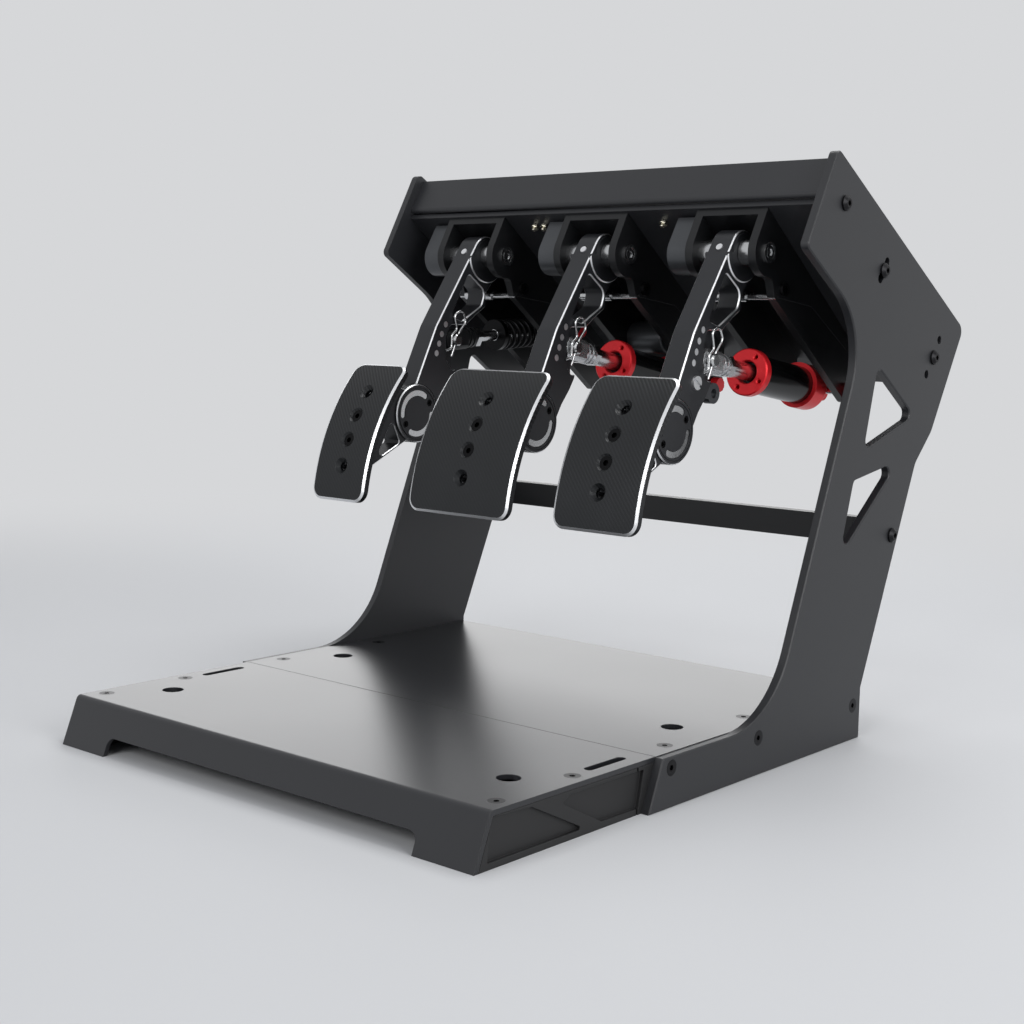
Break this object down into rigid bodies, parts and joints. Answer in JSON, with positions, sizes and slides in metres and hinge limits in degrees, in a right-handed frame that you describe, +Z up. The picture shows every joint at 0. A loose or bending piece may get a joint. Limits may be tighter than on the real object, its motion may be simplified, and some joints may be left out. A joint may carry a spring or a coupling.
{
  "type": "sim racing pedal set",
  "caption": "Hanging sim racing pedals with clutch, brake and throttle on a sloping head between two side plates, with a heel plate in front.",
  "frame": {"origin": "middle of the footprint's bounding box, on the floor", "axes": "+X to the driver's right, +Y away from the driver, +Z up"},
  "size_m": [0.386, 0.5234, 0.3961],
  "materials": {
    "coated_steel": "satin",
    "moulded_plastic": "matte",
    "black_oxide_screws": "satin",
    "black_aluminium": "satin",
    "grey_aluminium": "satin",
    "turned_steel": "polished",
    "silver_aluminium": "satin",
    "red_aluminium": "satin",
    "spring_steel": "satin"
  },
  "bodies": {
    "frame": {"base_front_plate": "coated_steel", "base_rails": "moulded_plastic", "base_rear_plate": "coated_steel", "base_screws": "black_oxide_screws", "bracket_bolts": "black_oxide_screws", "brake_bracket": "black_aluminium", "brake_load_cell": "grey_aluminium", "clutch_bracket": "black_aluminium", "deck_plate": "coated_steel", "frame_bolts": "black_oxide_screws", "front_beam": "coated_steel", "pivot_bushes": "turned_steel", "pivot_shafts": "turned_steel", "rear_crossbar": "coated_steel", "sensor_housings": "grey_aluminium", "side_plate_left": "coated_steel", "side_plate_right": "coated_steel", "side_screws": "black_oxide_screws", "stop_bars": "turned_steel", "tail_knobs": "red_aluminium", "tail_pins": "turned_steel", "throttle_bracket": "black_aluminium"},
    "clutch_pedal": {"clutch_arm": "black_aluminium", "clutch_adjuster_washer": "turned_steel", "clutch_pad_bracket": "black_aluminium", "clutch_pad": "black_aluminium", "clutch_arm_screws": "turned_steel", "clutch_clevis_pin": "turned_steel", "clutch_clip": "turned_steel"},
    "clutch_barrel": {"clutch_guide": "black_aluminium", "clutch_spring": "spring_steel"},
    "clutch_pushrod": {"clutch_rod": "turned_steel", "clutch_clevis": "black_aluminium"},
    "brake_pedal": {"brake_arm": "black_aluminium", "brake_adjuster_washer": "turned_steel", "brake_pad_bracket": "black_aluminium", "brake_pad": "black_aluminium", "brake_arm_screws": "turned_steel", "brake_clevis_pin": "turned_steel", "brake_clip": "turned_steel"},
    "brake_barrel": {"brake_damper_tube": "black_aluminium", "brake_damper_flange": "red_aluminium", "brake_damper_collar": "red_aluminium"},
    "brake_pushrod": {"brake_rod": "turned_steel", "brake_clevis": "silver_aluminium"},
    "throttle_pedal": {"throttle_arm": "black_aluminium", "throttle_adjuster_washer": "turned_steel", "throttle_pad_bracket": "black_aluminium", "throttle_pad": "black_aluminium", "throttle_arm_screws": "turned_steel", "throttle_clevis_pin": "turned_steel", "throttle_clip": "turned_steel", "throttle_tab": "grey_aluminium"},
    "throttle_barrel": {"throttle_damper_tube": "black_aluminium", "throttle_damper_flange": "red_aluminium", "throttle_damper_collar": "red_aluminium"},
    "throttle_pushrod": {"throttle_rod": "turned_steel", "throttle_clevis": "silver_aluminium"}
  },
  "joints": [
    {"name": "clutch_pivot", "type": "hinge", "parent": "frame", "child": "clutch_pedal", "pos_m": [-0.115, 0.06708, 0.332], "axis": [1, 0, 0], "range_deg": [0, 16], "stiffness_Nm_per_rad": 6, "springref_deg": -14.32},
    {"name": "clutch_swing", "type": "hinge", "parent": "frame", "child": "clutch_barrel", "pos_m": [-0.115, 0.15408, 0.277], "axis": [1, 0, 0], "range_deg": [0, 4.69]},
    {"name": "clutch_stroke", "type": "slide", "parent": "clutch_barrel", "child": "clutch_pushrod", "axis": [0, 0.9978, 0.0656], "range_m": [0, 0.01771], "deforming": ["clutch_spring"]},
    {"name": "brake_pivot", "type": "hinge", "parent": "frame", "child": "brake_pedal", "pos_m": [0, 0.06708, 0.332], "axis": [1, 0, 0], "range_deg": [0, 8], "stiffness_Nm_per_rad": 40, "springref_deg": -3.44},
    {"name": "brake_swing", "type": "hinge", "parent": "frame", "child": "brake_barrel", "pos_m": [0, 0.18008, 0.238], "axis": [1, 0, 0], "range_deg": [0, 1]},
    {"name": "brake_stroke", "type": "slide", "parent": "brake_barrel", "child": "brake_pushrod", "axis": [0, 0.9827, -0.185], "range_m": [0, 0.01015]},
    {"name": "throttle_pivot", "type": "hinge", "parent": "frame", "child": "throttle_pedal", "pos_m": [0.115, 0.06708, 0.332], "axis": [1, 0, 0], "range_deg": [0, 15], "stiffness_Nm_per_rad": 4, "springref_deg": -20.05},
    {"name": "throttle_swing", "type": "hinge", "parent": "frame", "child": "throttle_barrel", "pos_m": [0.115, 0.18008, 0.238], "axis": [1, 0, 0], "range_deg": [0, 1.71]},
    {"name": "throttle_stroke", "type": "slide", "parent": "throttle_barrel", "child": "throttle_pushrod", "axis": [0, 0.9887, -0.1499], "range_m": [0, 0.0203]}
  ],
  "couplings": [
    {"joint": "clutch_swing", "follows": "clutch_pivot", "ratio": 0.2926},
    {"joint": "clutch_stroke", "follows": "clutch_pivot", "m_per_rad": 0.06334},
    {"joint": "brake_swing", "follows": "brake_pivot", "ratio": 0.1248},
    {"joint": "brake_stroke", "follows": "brake_pivot", "m_per_rad": 0.07255},
    {"joint": "throttle_swing", "follows": "throttle_pivot", "ratio": 0.1138},
    {"joint": "throttle_stroke", "follows": "throttle_pivot", "m_per_rad": 0.07747}
  ]
}
